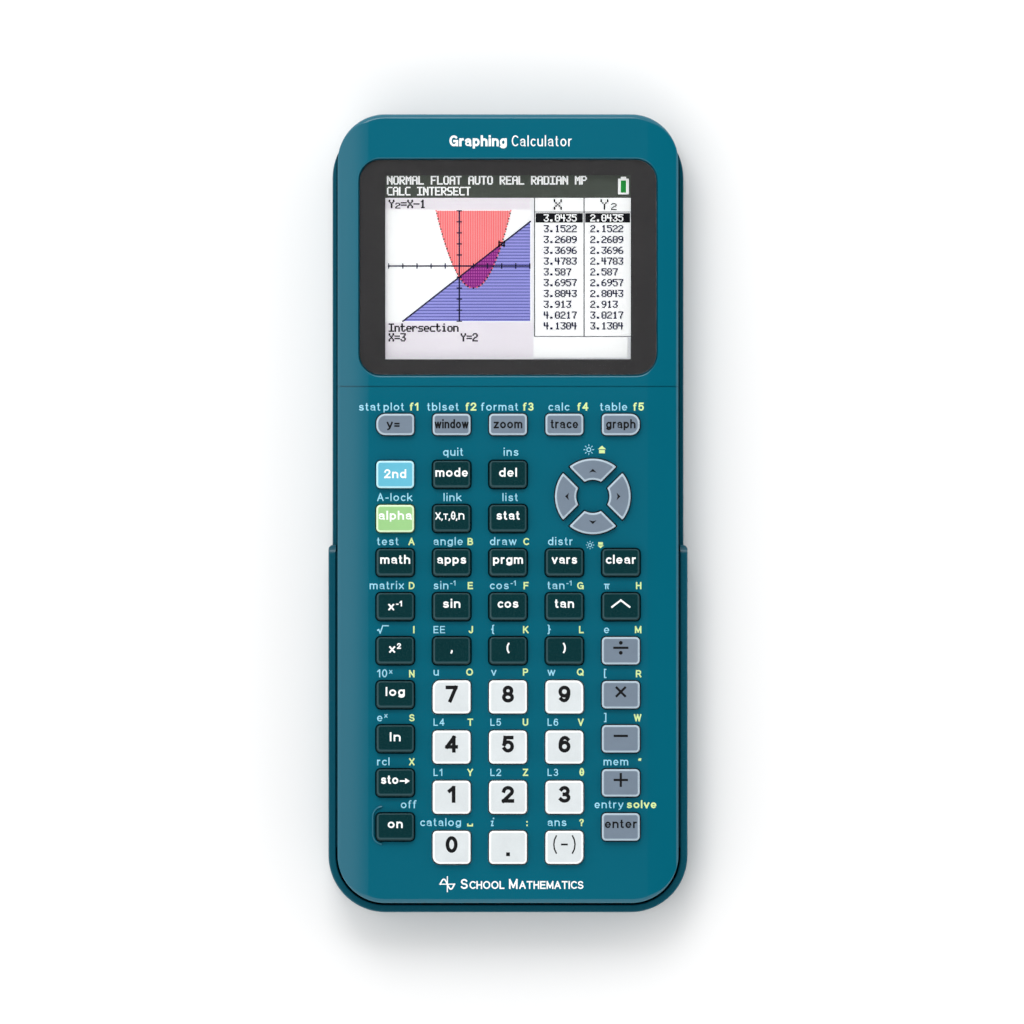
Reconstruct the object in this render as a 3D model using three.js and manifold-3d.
// A graphing calculator stored in its slide cover, lying on its back.
// Millimetres. +X is to the user's right, +Y towards the screen end, +Z out of the keys.
// The origin is the centre of the bounding box at its lowest plane, the cover's outer face.
import * as THREE from "three";
import { mergeVertices } from "three/addons/utils/BufferGeometryUtils.js";
import Module from "manifold-3d";

const wasm = await Module();
wasm.setup();

// ---- Driving dimensions -------------------------------------------------------------------------

const LENGTH = 192; // whole object, cover's closed end to the calculator's screen end
const GAP = 0.3; // between pieces that rest on each other

// Calculator body, seen from the front
const BODY_HALF_WIDTH = 41;
const BODY_TOP = LENGTH / 2;
const BODY_BOTTOM = -93.8;
const BODY_CORNER = 11.4;
const WALL = 2;

// Heights above the surface that the cover lies on
const COVER_FLOOR = 1.6; // thickness of the cover's floor
const BACK = 2.4; // outer face of the rear shell
const REAR_FLOOR = 4.2; // inner face of the rear shell
const SPLIT = 9.75; // middle of the parting line and of the cover's grooves
const FACE = 15.9; // outer face of the front shell
const FACE_UNDERSIDE = 14.3;
const EDGE_HEIGHT = 1.3; // height and inset of the bevel round the front
const EDGE_INSET = 1.2;
const CROWN_FLAT_HALF = 33.6; // half width of the level part of the front
const CROWN_DROP = 0.9; // how far the front has fallen away at its long edges
const TONGUE_HEIGHT = 1.2; // the front shell's locating tongue, inside the rear shell's wall
const TONGUE_THICKNESS = 0.8;
const TONGUE_ROOT = 0.4;
const BOARD_INSET = WALL + GAP + TONGUE_THICKNESS + 0.5;
const BOARD_BOTTOM = 9.3;
const BOARD_TOP = 10.3;
const SOLDER = 0.2; // how far soldered parts reach into the board

// Slide cover
const COVER_HALF_WIDTH = 43.2; // at the grip walls
const COVER_SLIM_HALF_WIDTH = 42.2; // beside the screen
const COVER_CORNER = 13.7;
const COVER_TOP = 94.4;
const COVER_SLIM_HEIGHT = 5;
const COVER_GRIP_HEIGHT = 12.2;
const COVER_GRIP_END = -7.6;
const COVER_SIDE_GAP = 0.4;
const GROOVE_HALF_HEIGHT = 1.4;
const GROOVE_DEPTH = 1;
const LIP_HALF_HEIGHT = 1;
const LIP_DEPTH = 0.7; // how far the cover's lips reach into the grooves
const GRIP_GROOVE = { count: 5, pitch: 3, width: 1.4, halfLength: 14, depth: 0.5, start: 12 };

// Screen
const WINDOW = { x: 0, y: 59.2, width: 71.4, height: 51.6, corner: 5 };
const WINDOW_TOP = 15.5;
const WINDOW_THICKNESS = 1;
const DISPLAY = { width: 59, height: 44.3 };
const DISPLAY_TOP = 12.7;
const DISPLAY_THICKNESS = 2;
const DISPLAY_BORDER = 2.5; // the display module round its picture
const WINDOW_LEDGE_BOTTOM = 12.95;
const SEAM_Y = 30.5;
const SEAM_DEPTH = 0.25;
const APERTURE_MARGIN = 1; // how far the hole under the window reaches past the picture

// Keys
const COLUMN_PITCH = 13.57;
const ROW_PITCH = 10.6;
const FIRST_ROW_Y = 9.32;
const FUNCTION_ROW_Y = 21.36;
const NUMBER_ROW_Y = -44.2;
const NUMBER_PITCH = 12.07;
const KEY_WIDTH = 9.1;
const KEY_HEIGHT = 6.6;
const FUNCTION_KEY_HEIGHT = 5.15;
const NUMBER_KEY_HEIGHT = 7.95;
const KEY_CORNER = 0.95;
const FUNCTION_END_CORNER = 2.2;
const NUMBER_PAD_CORNER = 1.75;
const KEY_TOP = 17.5;
const KEY_BEVEL = 0.5;
const KEY_CLEARANCE = 0.25;
const FLANGE_GROW = 0.7;
const FLANGE_BOTTOM = 13.3;
const FLANGE_TOP = 14.1;
const KEY_TRAVEL = 0.8;

// Low C-shaped rim round the ON key: its edges' distances from the key, height and reach over it
const GUARD = { inner: 0.45, outer: 1.3, height: 0.5, reach: 0.9 };

// Arrow keys: four sectors round a centre
const PAD = { x: 20.4, y: 4.05, outer: 9.1, inner: 4, halfGap: 1.05 };

// Keypad membrane
const MEMBRANE_BOTTOM = 10.6;
const MEMBRANE_TOP = 11.2;
const DOME_TOP = FLANGE_BOTTOM - KEY_TRAVEL - 0.1; // as squeezed by a pressed key
const DOME_RADIUS = 2.6;
const DOME_TOP_RADIUS = 1.6;
const DOME_STEPS = 10;
const MEMBRANE_END = -84.6; // lower edge of the sheet
const MEMBRANE_MARGIN = 1.6;

// Fastening
const SCREW_POSTS = [
  [31, 89.6],
  [35.6, 27],
  [31, -87.4],
];
const POST_RADIUS = 2.4;
const POST_MEET = 6; // height where the front and rear posts meet
const PILOT_RADIUS = 0.9;
const SCREW_CLEARANCE_RADIUS = 1.2;
const SCREW_HEAD_RADIUS = 2.1;
const SCREW_HEAD_SEAT = 3.9;
const PILOT_END = 12.5;
const HOLE_STEPS = 12;
const PILOT_STEPS = 10;

// Battery bay, in the lower back
const BATTERY = { x: 0, y: -38, width: 40, length: 54, thickness: 4.2, corner: 3 };
const BATTERY_BOTTOM = 4.5;
const BAY_CLEARANCE = 0.5;
const DOOR_MARGIN = 4; // how far the door reaches past the bay on every side
const DOOR_TOP = 3.7;
const DOOR_SCREW_Y = BATTERY.y + BATTERY.length / 2 + 2.5;
const BAY_LEDGE = 4;
const BAY_TOP = 9;
const BAY_WALL = 1.6;
const DOOR_HOOK = { x: 12, halfWidth: 3, reach: 1.3, bottom: 2.9 };

// Ports and the reset button
const SOCKET = { y: 72, length: 9.3, width: 7.7, height: 3.9, mouth: 39.3, metal: 0.4 };
const RESET = { x: 24, y: 12, radius: 1, flange: 1.8, bottom: 2.9, top: 8 };
const RESET_FLANGE_BOTTOM = 4.5;
const RESET_FLANGE_TOP = 5.3;

// Chips under the board: x, y, width, length, height
const CHIPS = [
  [-6, 48, 17, 17, 1.4],
  [16, 50, 12, 9, 1.2],
  [16, 36, 8, 8, 1.1],
  [-24, 52, 6, 8, 2],
  [-24, 20, 10, 5, 1.6],
  [RESET.x, RESET.y, 4, 4, 0.7],
];

// Fineness of round shapes
const CORNER_STEPS = 8;
const KEY_CORNER_STEPS = 2;
const ROUND_STEPS = 16;

// ---- Materials ----------------------------------------------------------------------------------

function finish(color, roughness, metalness = 0) {
  return new THREE.MeshStandardMaterial({ color, roughness, metalness });
}

const MATERIAL = {
  shell: finish(0x00677c, 0.32),
  cover: finish(0x0a5264, 0.35),
  darkKey: finish(0x062c33, 0.4),
  greyKey: finish(0x97a0b0, 0.4),
  whiteKey: finish(0xe9e9ea, 0.35),
  blueKey: finish(0x6cc4de, 0.35),
  greenKey: finish(0xa5d887, 0.35),
  window: finish(0x1c1c1e, 0.08),
  display: finish(0xf2f0f4, 0.3),
  board: finish(0x1d5c38, 0.6),
  membrane: finish(0xb9bcc0, 0.8),
  battery: finish(0x2c2e33, 0.5),
  button: finish(0x202225, 0.5),
};

// ---- Outlines, all counter-clockwise seen from +Z ------------------------------------------------

// A rectangle with its own radius at each corner: right-top, left-top, left-bottom, right-bottom.
// grow moves every edge outwards by that much.
function roundedRectangle({ x, y, width, height, corners, steps, grow = 0 }) {
  const signs = [[1, 1], [-1, 1], [-1, -1], [1, -1]];
  const points = [];
  signs.forEach(([sx, sy], i) => {
    const radius = Math.max(corners[i] + grow, 0.1);
    const cx = x + sx * (width / 2 + grow - radius);
    const cy = y + sy * (height / 2 + grow - radius);
    for (let k = 0; k <= steps; k++) {
      const angle = (Math.PI / 2) * (i + k / steps);
      points.push(new THREE.Vector2(cx + radius * Math.cos(angle), cy + radius * Math.sin(angle)));
    }
  });
  return points;
}

function evenCorners(radius) {
  return [radius, radius, radius, radius];
}

function bodyOutline(grow) {
  return roundedRectangle({
    x: 0,
    y: (BODY_TOP + BODY_BOTTOM) / 2,
    width: 2 * BODY_HALF_WIDTH,
    height: BODY_TOP - BODY_BOTTOM,
    corners: evenCorners(BODY_CORNER),
    steps: CORNER_STEPS,
    grow,
  });
}

// One arrow key: a ring sector facing the angle turn, cut by lines parallel to the diagonals.
function sectorOutline(turn, grow) {
  const outer = PAD.outer + grow;
  const inner = PAD.inner - grow;
  const halfGap = PAD.halfGap - grow;
  const points = [];
  const arc = (radius, steps, direction) => {
    const half = Math.PI / 4 - Math.asin(halfGap / radius);
    for (let k = 0; k <= steps; k++) {
      const angle = turn + direction * half * ((2 * k) / steps - 1);
      const x = PAD.x + radius * Math.cos(angle);
      points.push(new THREE.Vector2(x, PAD.y + radius * Math.sin(angle)));
    }
  };
  arc(outer, 6, 1);
  arc(inner, 3, -1);
  return points;
}

// ---- Solids -------------------------------------------------------------------------------------

// A closed solid through outlines with equal point counts, from the lowest level to the highest.
function loft(levels) {
  const count = levels[0].points.length;
  const position = levels.flatMap(({ z, points }) => points.flatMap((p) => [p.x, p.y, z]));
  const index = [];
  for (let level = 0; level < levels.length - 1; level++) {
    for (let i = 0; i < count; i++) {
      const j = (i + 1) % count;
      const a = level * count + i;
      const b = level * count + j;
      index.push(a, b, b + count, a, b + count, a + count);
    }
  }
  const top = (levels.length - 1) * count;
  for (const [a, b, c] of THREE.ShapeUtils.triangulateShape(levels[0].points, [])) {
    index.push(a, c, b);
  }
  for (const [a, b, c] of THREE.ShapeUtils.triangulateShape(levels.at(-1).points, [])) {
    index.push(top + a, top + b, top + c);
  }
  const geometry = new THREE.BufferGeometry();
  geometry.setAttribute("position", new THREE.Float32BufferAttribute(position, 3));
  geometry.setIndex(index);
  return solid(geometry);
}

function solid(geometry) {
  const bare = geometry.clone();
  bare.deleteAttribute("normal");
  bare.deleteAttribute("uv");
  const merged = mergeVertices(bare, 1e-4);
  const vertProperties = new Float32Array(merged.attributes.position.array);
  const triVerts = new Uint32Array(merged.index.array);
  return new wasm.Manifold(new wasm.Mesh({ numProp: 3, vertProperties, triVerts }));
}

function prism(points, bottom, top) {
  return loft([{ z: bottom, points }, { z: top, points }]);
}

function box(x0, x1, y0, y1, z0, z1) {
  const geometry = new THREE.BoxGeometry(x1 - x0, y1 - y0, z1 - z0);
  return solid(geometry.translate((x0 + x1) / 2, (y0 + y1) / 2, (z0 + z1) / 2));
}

function cone(x, y, z0, z1, bottomRadius, topRadius, steps = ROUND_STEPS) {
  const geometry = new THREE.CylinderGeometry(topRadius, bottomRadius, z1 - z0, steps);
  return solid(geometry.rotateX(Math.PI / 2).translate(x, y, (z0 + z1) / 2));
}

function cylinder(x, y, z0, z1, radius, steps = ROUND_STEPS) {
  return cone(x, y, z0, z1, radius, radius, steps);
}

function join(first, ...others) {
  return others.reduce((sum, other) => sum.add(other), first);
}

function cut(first, ...others) {
  return others.reduce((rest, other) => rest.subtract(other), first);
}

function mesh(name, manifold, material) {
  const { vertProperties, triVerts } = manifold.getMesh();
  const geometry = new THREE.BufferGeometry();
  geometry.setAttribute("position", new THREE.BufferAttribute(vertProperties, 3));
  geometry.setIndex(new THREE.BufferAttribute(triVerts, 1));
  geometry.computeVertexNormals();
  const made = new THREE.Mesh(geometry, material);
  made.name = name;
  return made;
}

// ---- Keys ---------------------------------------------------------------------------------------

// Names by row, left to right; null where the arrow pad or the number pad takes the place.
const FUNCTION_ROW = ["y_equals", "window", "zoom", "trace", "graph"];
const KEY_ROWS = [
  ["2nd", "mode", "del", null, null],
  ["alpha", "variable", "stat", null, null],
  ["math", "apps", "prgm", "vars", "clear"],
  ["reciprocal", "sin", "cos", "tan", "power"],
  ["square", "comma", "paren_open", "paren_close", "divide"],
  ["log", null, null, null, "multiply"],
  ["ln", null, null, null, "minus"],
  ["store", null, null, null, "plus"],
  ["on", null, null, null, "enter"],
];
const NUMBER_ROWS = [
  ["7", "8", "9"],
  ["4", "5", "6"],
  ["1", "2", "3"],
  ["0", "point", "negate"],
];
const ARROWS = ["right", "up", "left", "down"];
const GREY_KEYS = ["divide", "multiply", "minus", "plus", "enter"];
// Which corners are larger: right-top, left-top, left-bottom, right-bottom.
const NUMBER_PAD_ENDS = { 7: 1, 9: 0, 0: 2, negate: 3 };

function columnX(column) {
  return (column - 2) * COLUMN_PITCH;
}

function rectangularKey(name, column, y, height, corners, material) {
  const outline = (grow) =>
    roundedRectangle({
      x: columnX(column),
      y,
      width: KEY_WIDTH,
      height,
      corners,
      steps: KEY_CORNER_STEPS,
      grow,
    });
  return { name, outline, material, dome: [columnX(column), y] };
}

function functionKeys() {
  const big = FUNCTION_END_CORNER;
  const corners = FUNCTION_ROW.map(() => evenCorners(KEY_CORNER));
  corners[0] = [KEY_CORNER, big, big, KEY_CORNER];
  corners[4] = [big, KEY_CORNER, KEY_CORNER, big];
  return FUNCTION_ROW.map((name, column) =>
    rectangularKey(
      name,
      column,
      FUNCTION_ROW_Y,
      FUNCTION_KEY_HEIGHT,
      corners[column],
      MATERIAL.greyKey,
    ),
  );
}

function mainKeyMaterial(name) {
  if (name === "2nd") return MATERIAL.blueKey;
  if (name === "alpha") return MATERIAL.greenKey;
  return GREY_KEYS.includes(name) ? MATERIAL.greyKey : MATERIAL.darkKey;
}

function mainKeys() {
  return KEY_ROWS.flatMap((names, row) =>
    names.flatMap((name, column) => {
      if (name === null) return [];
      const y = FIRST_ROW_Y - row * ROW_PITCH;
      const corners = evenCorners(KEY_CORNER);
      return [rectangularKey(name, column, y, KEY_HEIGHT, corners, mainKeyMaterial(name))];
    }),
  );
}

function numberKeys() {
  return NUMBER_ROWS.flatMap((names, row) =>
    names.map((name, i) => {
      const corners = evenCorners(KEY_CORNER);
      if (name in NUMBER_PAD_ENDS) corners[NUMBER_PAD_ENDS[name]] = NUMBER_PAD_CORNER;
      const y = NUMBER_ROW_Y - row * NUMBER_PITCH;
      return rectangularKey(name, i + 1, y, NUMBER_KEY_HEIGHT, corners, MATERIAL.whiteKey);
    }),
  );
}

function arrowKeys() {
  const middle = (PAD.outer + PAD.inner) / 2;
  return ARROWS.map((name, i) => {
    const turn = (i * Math.PI) / 2;
    const x = PAD.x + middle * Math.cos(turn);
    const y = PAD.y + middle * Math.sin(turn);
    const outline = (grow) => sectorOutline(turn, grow);
    return { name, outline, material: MATERIAL.greyKey, dome: [x, y] };
  });
}

const KEYS = [...functionKeys(), ...mainKeys(), ...numberKeys(), ...arrowKeys()];

// A cap with a bevelled top, and a flange that holds it under the front shell.
function keycap({ name, outline, material }) {
  const cap = loft([
    { z: FLANGE_BOTTOM, points: outline(FLANGE_GROW) },
    { z: FLANGE_TOP, points: outline(FLANGE_GROW) },
    { z: FLANGE_TOP, points: outline(0) },
    { z: KEY_TOP - KEY_BEVEL, points: outline(0) },
    { z: KEY_TOP, points: outline(-KEY_BEVEL) },
  ]);
  return mesh(`key_${name}`, cap, material);
}

// ---- Front shell --------------------------------------------------------------------------------

function windowOutline(grow) {
  return roundedRectangle({
    x: WINDOW.x,
    y: WINDOW.y,
    width: WINDOW.width,
    height: WINDOW.height,
    corners: evenCorners(WINDOW.corner),
    steps: CORNER_STEPS / 2,
    grow,
  });
}

// The top falls away in a shallow curve along both long sides, as an extrusion along Y.
function crown() {
  const steps = 4;
  const slope = BODY_HALF_WIDTH - CROWN_FLAT_HALF;
  const profile = new THREE.Shape();
  profile.moveTo(-BODY_HALF_WIDTH - 1, 0);
  profile.lineTo(BODY_HALF_WIDTH + 1, 0);
  const edge = (t) => [CROWN_FLAT_HALF + slope * t, FACE - CROWN_DROP * t * t];
  const right = Array.from({ length: steps + 1 }, (_, i) => edge(i / steps));
  profile.lineTo(BODY_HALF_WIDTH + 1, FACE - CROWN_DROP);
  for (const [x, z] of right.toReversed()) profile.lineTo(x, z);
  for (const [x, z] of right) profile.lineTo(-x, z);
  profile.lineTo(-BODY_HALF_WIDTH - 1, FACE - CROWN_DROP);
  const geometry = new THREE.ExtrudeGeometry(profile, { depth: LENGTH + 4, bevelEnabled: false });
  return solid(geometry.rotateX(Math.PI / 2).translate(0, LENGTH / 2 + 2, 0));
}

function grooveCuts() {
  const z0 = SPLIT - GROOVE_HALF_HEIGHT;
  const z1 = SPLIT + GROOVE_HALF_HEIGHT;
  const inner = BODY_HALF_WIDTH - GROOVE_DEPTH;
  const end = COVER_GRIP_END + 1;
  return [
    box(inner, BODY_HALF_WIDTH + 1, BODY_BOTTOM - 1, end, z0, z1),
    box(-BODY_HALF_WIDTH - 1, -inner, BODY_BOTTOM - 1, end, z0, z1),
  ];
}

function screwPositions() {
  return SCREW_POSTS.flatMap(([x, y]) => [[x, y], [-x, y]]);
}

// A low C-shaped rim on the left of the ON key keeps it from being pressed by accident.
function onKeyGuard() {
  const key = KEYS.find(({ name }) => name === "on");
  const left = columnX(0) - KEY_WIDTH / 2;
  const y = key.dome[1];
  const { inner, outer, height, reach } = GUARD;
  const ring = cut(
    prism(key.outline(outer), FACE - height, FACE + height),
    prism(key.outline(inner), FACE - 2 * height, FACE + 2 * height),
  );
  const end = left + reach;
  return ring.intersect(box(left - 3, end, y - KEY_HEIGHT, y + KEY_HEIGHT, FACE - 1, FACE + 1));
}

function frontShell() {
  const bottom = SPLIT + GAP / 2;
  const outer = loft([
    { z: bottom, points: bodyOutline(0) },
    { z: FACE - EDGE_HEIGHT, points: bodyOutline(0) },
    { z: FACE - 0.4 * EDGE_HEIGHT, points: bodyOutline(-0.3 * EDGE_INSET) },
    { z: FACE, points: bodyOutline(-EDGE_INSET) },
  ]).intersect(crown());
  const cavity = prism(bodyOutline(-WALL), bottom - 1, FACE_UNDERSIDE);
  const ledge = prism(windowOutline(2), WINDOW_LEDGE_BOTTOM, FACE_UNDERSIDE + 0.2);
  const posts = screwPositions().map(([x, y]) =>
    cylinder(x, y, POST_MEET + GAP / 2, FACE_UNDERSIDE + 0.2, POST_RADIUS),
  );
  const tongueInside = bodyOutline(-WALL - GAP - TONGUE_THICKNESS);
  const tongue = cut(
    prism(bodyOutline(-WALL - GAP), bottom - 1, bottom + TONGUE_HEIGHT),
    prism(tongueInside, bottom - 2, bottom + 2),
  );
  const tongueRoot = cut(
    prism(bodyOutline(-WALL + 0.5), bottom + TONGUE_ROOT, bottom + TONGUE_HEIGHT),
    prism(tongueInside, bottom, bottom + 2),
  );
  const pocket = prism(windowOutline(GAP), WINDOW_TOP - WINDOW_THICKNESS - 0.15, FACE + 1);
  const aperture = roundedRectangle({
    x: WINDOW.x,
    y: WINDOW.y,
    width: DISPLAY.width + 2 * APERTURE_MARGIN,
    height: DISPLAY.height + 2 * APERTURE_MARGIN,
    corners: evenCorners(1),
    steps: KEY_CORNER_STEPS,
  });
  const socketHalf = SOCKET.width / 2 + 0.6;
  const socketNotch = box(
    BODY_HALF_WIDTH - WALL - 3,
    BODY_HALF_WIDTH - WALL - 0.05,
    SOCKET.y - socketHalf,
    SOCKET.y + socketHalf,
    bottom - 2,
    bottom + TONGUE_ROOT,
  );
  const seam = box(
    -BODY_HALF_WIDTH - 1,
    BODY_HALF_WIDTH + 1,
    SEAM_Y - GAP / 2,
    SEAM_Y + GAP / 2,
    FACE - SEAM_DEPTH,
    FACE + 1,
  );
  return cut(
    join(cut(outer, cavity), ledge, ...posts, cut(join(tongue, tongueRoot), socketNotch), onKeyGuard()),
    pocket,
    prism(aperture, WINDOW_LEDGE_BOTTOM - 1, FACE),
    seam,
    ...KEYS.map(({ outline }) => prism(outline(KEY_CLEARANCE), FACE_UNDERSIDE - 0.5, FACE + 1)),
    ...screwPositions().map(([x, y]) =>
      cylinder(x, y, POST_MEET - 1, PILOT_END, PILOT_RADIUS, PILOT_STEPS),
    ),
    ...grooveCuts(),
  );
}

// ---- Rear shell, battery bay and door -----------------------------------------------------------

// How far the back's edge is drawn in at each height, from the back up.
const BELLY = [
  { z: BACK, inset: 4 },
  { z: BACK + 0.4, inset: 2.4 },
  { z: BACK + 1.4, inset: 1.2 },
  { z: BACK + 2.6, inset: 0.6 },
  { z: BACK + 4.6, inset: 0 },
];

function batteryOutline(grow) {
  return roundedRectangle({
    x: BATTERY.x,
    y: BATTERY.y,
    width: BATTERY.width,
    height: BATTERY.length,
    corners: evenCorners(BATTERY.corner),
    steps: 3,
    grow,
  });
}

function doorOutline(grow) {
  return batteryOutline(BAY_CLEARANCE + DOOR_MARGIN + grow);
}

// Two hooks on the door's lower edge, as boxes grown by the given clearance.
function doorHooks(grow) {
  const edge = BATTERY.y - BATTERY.length / 2 - BAY_CLEARANCE - DOOR_MARGIN;
  const half = DOOR_HOOK.halfWidth + grow;
  const tip = edge - DOOR_HOOK.reach - grow;
  return [-DOOR_HOOK.x, DOOR_HOOK.x].map((x) =>
    box(x - half, x + half, tip, edge + 1, DOOR_HOOK.bottom - grow, DOOR_TOP + grow),
  );
}

function rearShell() {
  const top = SPLIT - GAP / 2;
  const levels = BELLY.map(({ z, inset }) => ({ z, points: bodyOutline(-inset) }));
  const outer = loft([...levels, { z: top, points: bodyOutline(0) }]);
  const cavity = loft([
    { z: REAR_FLOOR, points: bodyOutline(-WALL - 1.6) },
    { z: REAR_FLOOR + 1.6, points: bodyOutline(-WALL) },
    { z: top + 1, points: bodyOutline(-WALL) },
  ]);
  const bay = prism(doorOutline(BAY_WALL), BACK + 0.6, BAY_TOP);
  const postHeight = POST_MEET - GAP / 2;
  const posts = screwPositions().map(([x, y]) =>
    cylinder(x, y, BACK + 1, postHeight, POST_RADIUS + 0.6),
  );
  const socketHalf = SOCKET.width / 2 + 0.3;
  const socketBottom = BOARD_BOTTOM - SOCKET.height - 0.2;
  const port = box(
    BODY_HALF_WIDTH - 4,
    BODY_HALF_WIDTH + 1,
    SOCKET.y - socketHalf,
    SOCKET.y + socketHalf,
    socketBottom,
    top + 1,
  );
  const resetGuide = cylinder(RESET.x, RESET.y, BACK + 1, REAR_FLOOR, RESET.flange + 1.2);
  return cut(
    join(cut(outer, cavity), bay, ...posts, resetGuide),
    prism(doorOutline(GAP), BACK - 1, BAY_LEDGE),
    prism(batteryOutline(BAY_CLEARANCE), BACK, BAY_TOP + 1),
    ...doorHooks(GAP),
    port,
    cylinder(BATTERY.x, DOOR_SCREW_Y, BAY_LEDGE - 1, BAY_TOP - 1, PILOT_RADIUS, PILOT_STEPS),
    cylinder(RESET.x, RESET.y, BACK - 1, REAR_FLOOR + 1, RESET.radius + 0.25),
    ...screwPositions().map(([x, y]) =>
      cylinder(x, y, BACK - 1, POST_MEET, SCREW_CLEARANCE_RADIUS, HOLE_STEPS),
    ),
    ...screwPositions().map(([x, y]) =>
      cylinder(x, y, BACK - 1, SCREW_HEAD_SEAT, SCREW_HEAD_RADIUS),
    ),
    ...grooveCuts(),
  );
}

function batteryDoor() {
  return cut(
    join(prism(doorOutline(0), BACK, DOOR_TOP), ...doorHooks(0)),
    cylinder(BATTERY.x, DOOR_SCREW_Y, BACK - 1, DOOR_TOP + 1, SCREW_CLEARANCE_RADIUS, HOLE_STEPS),
  );
}

function batteryPack() {
  const top = BATTERY_BOTTOM + BATTERY.thickness;
  const bevel = 0.8;
  return loft([
    { z: BATTERY_BOTTOM, points: batteryOutline(-bevel) },
    { z: BATTERY_BOTTOM + bevel, points: batteryOutline(0) },
    { z: top - bevel, points: batteryOutline(0) },
    { z: top, points: batteryOutline(-bevel) },
  ]);
}

// ---- Inside -------------------------------------------------------------------------------------

// A steel cable socket with a blade inside, and the solder that holds it to the board.
function cableSocket() {
  const { y, width, height, length, mouth, metal } = SOCKET;
  const y0 = y - width / 2;
  const y1 = y + width / 2;
  const z0 = BOARD_BOTTOM - height;
  const body = box(mouth - length, mouth, y0, y1, z0, BOARD_BOTTOM);
  const inside = box(
    mouth - length + 1,
    mouth + 1,
    y0 + metal,
    y1 - metal,
    z0 + metal,
    BOARD_BOTTOM - metal,
  );
  const blade = box(mouth - length + 0.5, mouth - 1.5, y - 2.6, y + 2.6, z0 + 1.6, z0 + 2.3);
  const solder = box(mouth - length, mouth - 4, y0, y1, BOARD_BOTTOM - SOLDER, BOARD_BOTTOM + SOLDER);
  return join(cut(body, inside), blade, solder);
}

// A board with its soldered chips and, at its right edge, the cable socket.
function mainBoard() {
  const plate = cut(
    prism(bodyOutline(-BOARD_INSET), BOARD_BOTTOM, BOARD_TOP),
    ...screwPositions().map(([x, y]) =>
      cylinder(x, y, BOARD_BOTTOM - 1, BOARD_TOP + 1, POST_RADIUS + 0.5),
    ),
  );
  const chips = CHIPS.map(([x, y, width, length, height]) =>
    box(
      x - width / 2,
      x + width / 2,
      y - length / 2,
      y + length / 2,
      BOARD_BOTTOM - height,
      BOARD_BOTTOM + SOLDER,
    ),
  );
  return join(plate, ...chips, cableSocket());
}

function displayModule() {
  const { x, y } = WINDOW;
  const halfWidth = DISPLAY.width / 2 + DISPLAY_BORDER;
  const halfHeight = DISPLAY.height / 2 + DISPLAY_BORDER;
  const bottom = DISPLAY_TOP - DISPLAY_THICKNESS;
  const panel = box(x - halfWidth, x + halfWidth, y - halfHeight, y + halfHeight, bottom, DISPLAY_TOP);
  const tail = box(x - 9, x + 9, y - halfHeight - 3, y - halfHeight + 1, bottom, bottom + 0.4);
  return join(panel, tail);
}

function screenWindow() {
  const bottom = WINDOW_TOP - WINDOW_THICKNESS;
  return prism(windowOutline(0), bottom, WINDOW_TOP);
}

// One silicone sheet with a dome under every key.
function keypadMembrane() {
  const halfWidth = columnX(4) + KEY_WIDTH / 2 + MEMBRANE_MARGIN;
  const top = FUNCTION_ROW_Y + FUNCTION_KEY_HEIGHT / 2 + MEMBRANE_MARGIN;
  const sheet = roundedRectangle({
    x: 0,
    y: (top + MEMBRANE_END) / 2,
    width: 2 * halfWidth,
    height: top - MEMBRANE_END,
    corners: evenCorners(3),
    steps: 3,
  });
  const foot = MEMBRANE_TOP - 0.1;
  const domes = KEYS.map(({ dome: [x, y] }) =>
    cone(x, y, foot, DOME_TOP, DOME_RADIUS, DOME_TOP_RADIUS, DOME_STEPS),
  );
  return join(prism(sheet, MEMBRANE_BOTTOM, MEMBRANE_TOP), ...domes);
}

function resetButton() {
  const { x, y, radius, flange, bottom, top } = RESET;
  return join(
    cylinder(x, y, bottom, top, radius, 12),
    cylinder(x, y, RESET_FLANGE_BOTTOM, RESET_FLANGE_TOP, flange, 12),
  );
}

// ---- Slide cover --------------------------------------------------------------------------------

function coverOutline(halfWidth, bottom, top, topCorner, grow) {
  return roundedRectangle({
    x: 0,
    y: (top + bottom) / 2,
    width: 2 * halfWidth,
    height: top - bottom,
    corners: [topCorner, topCorner, COVER_CORNER, COVER_CORNER],
    steps: CORNER_STEPS,
    grow,
  });
}

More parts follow.
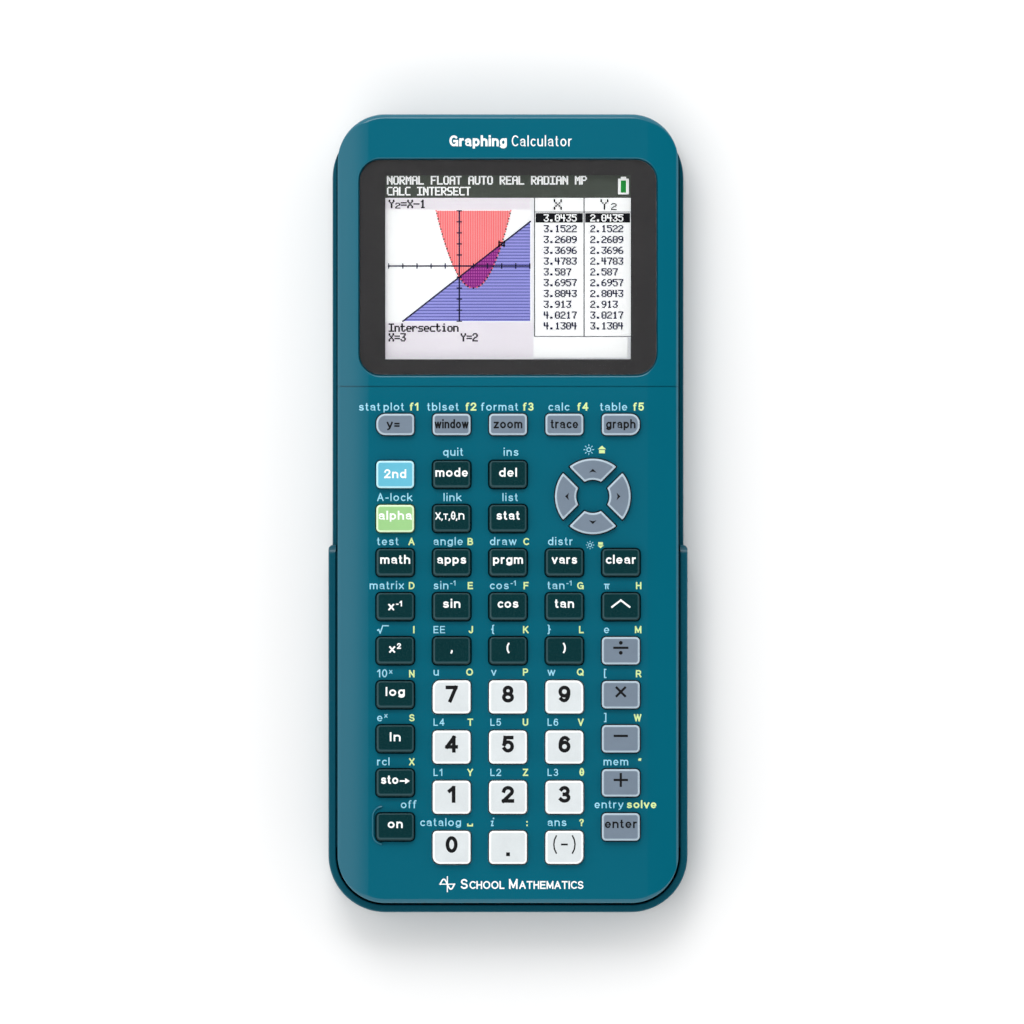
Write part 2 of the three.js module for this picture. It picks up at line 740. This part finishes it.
// A tray open at the screen end: low walls beside the screen, high grip walls with lips below.
function slideCover() {
  const coverBottom = -LENGTH / 2;
  const slim = (grow) =>
    coverOutline(COVER_SLIM_HALF_WIDTH, coverBottom + 1, COVER_TOP, COVER_CORNER, grow);
  const grip = (grow) =>
    coverOutline(COVER_HALF_WIDTH, coverBottom, COVER_GRIP_END, 1.2, grow);
  const slimTray = loft([
    { z: 0, points: slim(-1.9) },
    { z: 0.7, points: slim(-0.7) },
    { z: 2, points: slim(0) },
    { z: COVER_SLIM_HEIGHT, points: slim(0) },
  ]);
  const gripTray = loft([
    { z: 0, points: grip(-1.15) },
    { z: 0.7, points: grip(-0.6) },
    { z: 2, points: grip(0) },
    { z: COVER_GRIP_HEIGHT - 0.5, points: grip(0) },
    { z: COVER_GRIP_HEIGHT, points: grip(-0.4) },
  ]);
  // The inside follows the calculator's belly, lowered by the room between the two floors.
  const lowered = BACK - COVER_FLOOR;
  const past = 60; // how far the inside runs on past the open end
  const inside = (inset) =>
    roundedRectangle({
      x: 0,
      y: (BODY_BOTTOM + BODY_TOP + past) / 2,
      width: 2 * BODY_HALF_WIDTH,
      height: BODY_TOP + past - BODY_BOTTOM,
      corners: evenCorners(BODY_CORNER),
      steps: CORNER_STEPS,
      grow: COVER_SIDE_GAP - inset,
    });
  const levels = BELLY.map(({ z, inset }) => ({ z: z - lowered, points: inside(inset) }));
  const hollow = loft([...levels, { z: COVER_GRIP_HEIGHT + 1, points: inside(0) }]);
  const tray = cut(join(slimTray, gripTray), hollow);
  return cut(join(tray, coverLip(1), coverLip(-1)), ...gripGrooves());
}

// A rib on one side (1 or -1) that runs in the calculator's groove.
function coverLip(side) {
  const inner = side * (BODY_HALF_WIDTH - LIP_DEPTH);
  const outer = side * (COVER_HALF_WIDTH - 1);
  return box(
    Math.min(inner, outer),
    Math.max(inner, outer),
    -LENGTH / 2 + COVER_CORNER + 2,
    COVER_GRIP_END - 1.6,
    SPLIT - LIP_HALF_HEIGHT,
    SPLIT + LIP_HALF_HEIGHT,
  );
}

function gripGrooves() {
  const { count, pitch, width, halfLength, depth, start } = GRIP_GROOVE;
  return Array.from({ length: count }, (_, i) => {
    const y = -LENGTH / 2 + start + pitch * i;
    return box(-halfLength, halfLength, y, y + width, -1, depth);
  });
}

// ---- Assembly -----------------------------------------------------------------------------------

const calculator = new THREE.Group();
calculator.add(
  mesh("front_shell", frontShell(), MATERIAL.shell),
  mesh("rear_shell", rearShell(), MATERIAL.shell),
  mesh("battery_door", batteryDoor(), MATERIAL.shell),
  mesh("battery_pack", batteryPack(), MATERIAL.battery),
  mesh("main_board", mainBoard(), MATERIAL.board),
  mesh("lcd_module", displayModule(), MATERIAL.display),
  mesh("screen_window", screenWindow(), MATERIAL.window),
  mesh("keypad_membrane", keypadMembrane(), MATERIAL.membrane),
  mesh("reset_button", resetButton(), MATERIAL.button),
  mesh("slide_cover", slideCover(), MATERIAL.cover),
  ...KEYS.map(keycap),
);

export default calculator;
